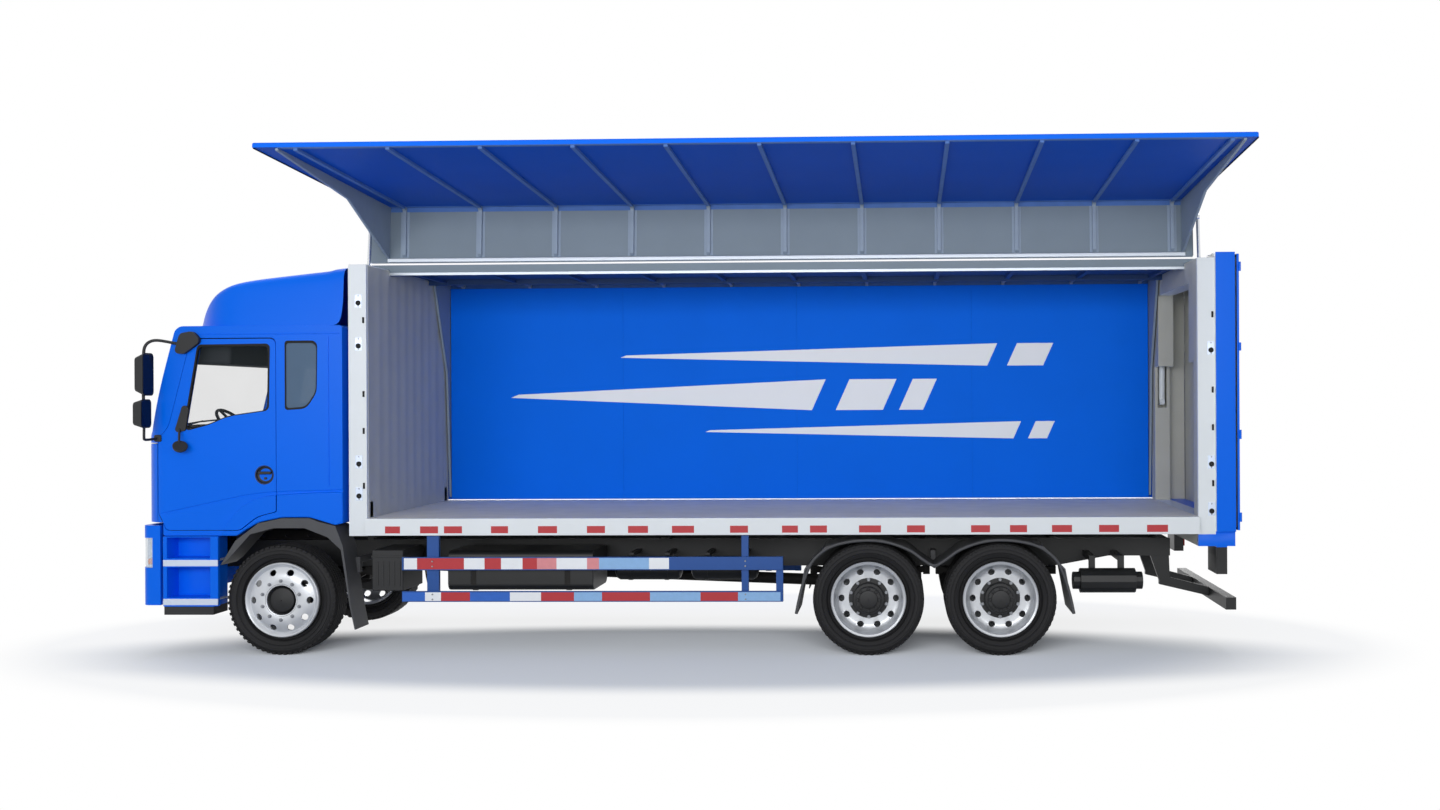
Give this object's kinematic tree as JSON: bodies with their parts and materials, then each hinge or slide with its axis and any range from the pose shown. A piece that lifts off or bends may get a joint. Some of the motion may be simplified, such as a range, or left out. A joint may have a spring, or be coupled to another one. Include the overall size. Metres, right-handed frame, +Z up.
{
  "type": "wing body truck",
  "caption": "Three-axle rigid truck with a high-roof cab and a cargo box whose sides swing up with half of the roof.",
  "frame": {"origin": "on the ground at the centre of the whole truck's footprint, the open left wing included", "axes": "+X towards the truck's rear, +Y towards its right side, +Z up"},
  "size_m": [10.975, 4.6616, 4.763],
  "materials": {
    "blue_paint": "gloss azure paint",
    "guard_paint": "blue paint with reflective bands",
    "wing_panel": "ribbed painted sheet",
    "white_paint": "satin white paint",
    "grey_panel": "grey painted sheet",
    "ram_paint": "gloss white paint",
    "chromed_steel": "polished rod",
    "wheel_steel": "silver painted steel",
    "tyre_rubber": "matt rubber",
    "tinted_glass": "tinted glass",
    "cab_trim": "moulded trim and cloth",
    "black_plastic": "grained black plastic",
    "tank_aluminium": "dull aluminium",
    "chassis_paint": "black chassis paint"
  },
  "bodies": {
    "chassis": {"air_tank": "chassis_paint", "battery_box": "black_plastic", "box_floor": "white_paint", "bumper": "blue_paint", "cab_shell": "blue_paint", "chassis_frame": "chassis_paint", "dashboard": "cab_trim", "drive_axle": "chassis_paint", "engine_block": "chassis_paint", "front_axle": "chassis_paint", "front_mudguard_left": "black_plastic", "front_mudguard_right": "black_plastic", "front_wall": "white_paint", "fuel_tank": "tank_aluminium", "mirror_left": "black_plastic", "mirror_right": "black_plastic", "propshaft": "chassis_paint", "quarter_window_left": "tinted_glass", "quarter_window_right": "tinted_glass", "rear_frame": "blue_paint", "rear_mudguard_left": "black_plastic", "rear_mudguard_right": "black_plastic", "rear_underrun": "chassis_paint", "roof_centre": "grey_panel", "roof_fairing": "blue_paint", "seats": "cab_trim", "side_guard_left": "guard_paint", "side_guard_right": "guard_paint", "step_left": "black_plastic", "step_right": "black_plastic", "tag_axle": "chassis_paint", "windscreen": "tinted_glass"},
    "wing_left": {"wing_left": "wing_panel"},
    "cab_door_left": {"cab_door_left": "blue_paint", "door_glass_left": "tinted_glass"},
    "rear_door_left": {"rear_door_left": "blue_paint"},
    "knuckle_left": {"knuckle_left": "chassis_paint"},
    "front_wheel_left": {"front_wheel_left": "wheel_steel", "front_tyre_left": "tyre_rubber"},
    "drive_wheels_left": {"drive_wheels_left": "tyre_rubber"},
    "tag_wheels_left": {"tag_wheels_left": "tyre_rubber"},
    "ram_barrel_front_left": {"ram_barrel_front_left": "ram_paint"},
    "ram_rod_front_left": {"ram_rod_front_left": "chromed_steel"},
    "ram_barrel_rear_left": {"ram_barrel_rear_left": "ram_paint"},
    "ram_rod_rear_left": {"ram_rod_rear_left": "chromed_steel"},
    "wing_right": {"wing_right": "wing_panel"},
    "cab_door_right": {"cab_door_right": "blue_paint", "door_glass_right": "tinted_glass"},
    "rear_door_right": {"rear_door_right": "blue_paint"},
    "knuckle_right": {"knuckle_right": "chassis_paint"},
    "front_wheel_right": {"front_wheel_right": "wheel_steel", "front_tyre_right": "tyre_rubber"},
    "drive_wheels_right": {"drive_wheels_right": "tyre_rubber"},
    "tag_wheels_right": {"tag_wheels_right": "tyre_rubber"},
    "ram_barrel_front_right": {"ram_barrel_front_right": "ram_paint"},
    "ram_rod_front_right": {"ram_rod_front_right": "chromed_steel"},
    "ram_barrel_rear_right": {"ram_barrel_rear_right": "ram_paint"},
    "ram_rod_rear_right": {"ram_rod_rear_right": "chromed_steel"},
    "front_panel": {"front_panel": "blue_paint"}
  },
  "joints": [
    {"name": "steering_left", "type": "hinge", "parent": "chassis", "child": "knuckle_left", "pos_m": [-4.0725, -0.00924, 0.55323], "axis": [0, 0, 1], "range_deg": [-35, 35]},
    {"name": "steering_right", "type": "hinge", "parent": "chassis", "child": "knuckle_right", "pos_m": [-4.0725, 1.67076, 0.55323], "axis": [0, 0, 1], "range_deg": [-35, 35]},
    {"name": "front_wheel_spin_left", "type": "hinge", "parent": "knuckle_left", "child": "front_wheel_left", "pos_m": [-4.0725, -0.20924, 0.55323], "axis": [0, -1, 0], "continuous": true},
    {"name": "drive_wheels_spin_left", "type": "hinge", "parent": "chassis", "child": "drive_wheels_left", "pos_m": [1.8225, -0.06924, 0.55323], "axis": [0, -1, 0], "continuous": true},
    {"name": "tag_wheels_spin_left", "type": "hinge", "parent": "chassis", "child": "tag_wheels_left", "pos_m": [3.1325, -0.06924, 0.55323], "axis": [0, -1, 0], "continuous": true},
    {"name": "front_wheel_spin_right", "type": "hinge", "parent": "knuckle_right", "child": "front_wheel_right", "pos_m": [-4.0725, 1.87076, 0.55323], "axis": [0, -1, 0], "continuous": true},
    {"name": "drive_wheels_spin_right", "type": "hinge", "parent": "chassis", "child": "drive_wheels_right", "pos_m": [1.8225, 1.73076, 0.55323], "axis": [0, -1, 0], "continuous": true},
    {"name": "tag_wheels_spin_right", "type": "hinge", "parent": "chassis", "child": "tag_wheels_right", "pos_m": [3.1325, 1.73076, 0.55323], "axis": [0, -1, 0], "continuous": true},
    {"name": "cab_door_hinge_left", "type": "hinge", "parent": "chassis", "child": "cab_door_left", "pos_m": [-5.3125, -0.39124, 2.2], "axis": [0, 0, -1], "range_deg": [0, 70]},
    {"name": "cab_door_hinge_right", "type": "hinge", "parent": "chassis", "child": "cab_door_right", "pos_m": [-5.3125, 2.05276, 2.2], "axis": [0, 0, 1], "range_deg": [0, 70]},
    {"name": "rear_door_hinge_left", "type": "hinge", "parent": "chassis", "child": "rear_door_left", "pos_m": [5.4925, -0.41424, 2.6], "axis": [0, 0, -1], "range_deg": [0, 265]},
    {"name": "rear_door_hinge_right", "type": "hinge", "parent": "chassis", "child": "rear_door_right", "pos_m": [5.4925, 2.07576, 2.6], "axis": [0, 0, 1], "range_deg": [0, 265]},
    {"name": "front_panel_hinge", "type": "hinge", "parent": "chassis", "child": "front_panel", "pos_m": [-5.4805, 0.83076, 2.146], "axis": [0, 1, 0], "range_deg": [0, 75]},
    {"name": "wing_hinge_left", "type": "hinge", "parent": "chassis", "child": "wing_left", "pos_m": [0.8875, 0.22076, 3.975], "axis": [1, 0, 0], "range_deg": [0, 93.3]},
    {"name": "ram_barrel_front_left_pivot", "type": "hinge", "parent": "chassis", "child": "ram_barrel_front_left", "pos_m": [-3.29, -0.20924, 2.5], "axis": [1, 0, 0], "range_deg": [-1, 4.84]},
    {"name": "ram_rod_front_left_slide", "type": "slide", "parent": "ram_barrel_front_left", "child": "ram_rod_front_left", "axis": [0, 0.1076, 0.9942], "range_m": [-0.6637, 0.01]},
    {"name": "ram_barrel_rear_left_pivot", "type": "hinge", "parent": "chassis", "child": "ram_barrel_rear_left", "pos_m": [5.1575, -0.20924, 2.5], "axis": [1, 0, 0], "range_deg": [-1, 4.84]},
    {"name": "ram_rod_rear_left_slide", "type": "slide", "parent": "ram_barrel_rear_left", "child": "ram_rod_rear_left", "axis": [0, 0.1076, 0.9942], "range_m": [-0.6637, 0.01]},
    {"name": "wing_hinge_right", "type": "hinge", "parent": "chassis", "child": "wing_right", "pos_m": [0.8875, 1.44076, 3.975], "axis": [1, 0, 0], "range_deg": [0, 93.3]},
    {"name": "ram_barrel_front_right_pivot", "type": "hinge", "parent": "chassis", "child": "ram_barrel_front_right", "pos_m": [-3.29, 1.87076, 2.5], "axis": [1, 0, 0], "range_deg": [-1, 4.84]},
    {"name": "ram_rod_front_right_slide", "type": "slide", "parent": "ram_barrel_front_right", "child": "ram_rod_front_right", "axis": [0, -0.0408, 0.9992], "range_m": [-0.01, 0.6637]},
    {"name": "ram_barrel_rear_right_pivot", "type": "hinge", "parent": "chassis", "child": "ram_barrel_rear_right", "pos_m": [5.1575, 1.87076, 2.5], "axis": [1, 0, 0], "range_deg": [-1, 4.84]},
    {"name": "ram_rod_rear_right_slide", "type": "slide", "parent": "ram_barrel_rear_right", "child": "ram_rod_rear_right", "axis": [0, -0.0408, 0.9992], "range_m": [-0.01, 0.6637]}
  ],
  "couplings": [
    {"joint": "ram_barrel_front_left_pivot", "follows": "wing_hinge_left", "ratio": 0.041166},
    {"joint": "ram_rod_front_left_slide", "follows": "wing_hinge_left", "m_per_rad": -0.40141},
    {"joint": "ram_barrel_rear_left_pivot", "follows": "wing_hinge_left", "ratio": 0.041166},
    {"joint": "ram_rod_rear_left_slide", "follows": "wing_hinge_left", "m_per_rad": -0.40141},
    {"joint": "ram_barrel_front_right_pivot", "follows": "wing_hinge_right", "ratio": 0.041166},
    {"joint": "ram_rod_front_right_slide", "follows": "wing_hinge_right", "m_per_rad": 0.40141},
    {"joint": "ram_barrel_rear_right_pivot", "follows": "wing_hinge_right", "ratio": 0.041166},
    {"joint": "ram_rod_rear_right_slide", "follows": "wing_hinge_right", "m_per_rad": 0.40141},
    {"joint": "steering_right", "follows": "steering_left", "ratio": 1}
  ]
}
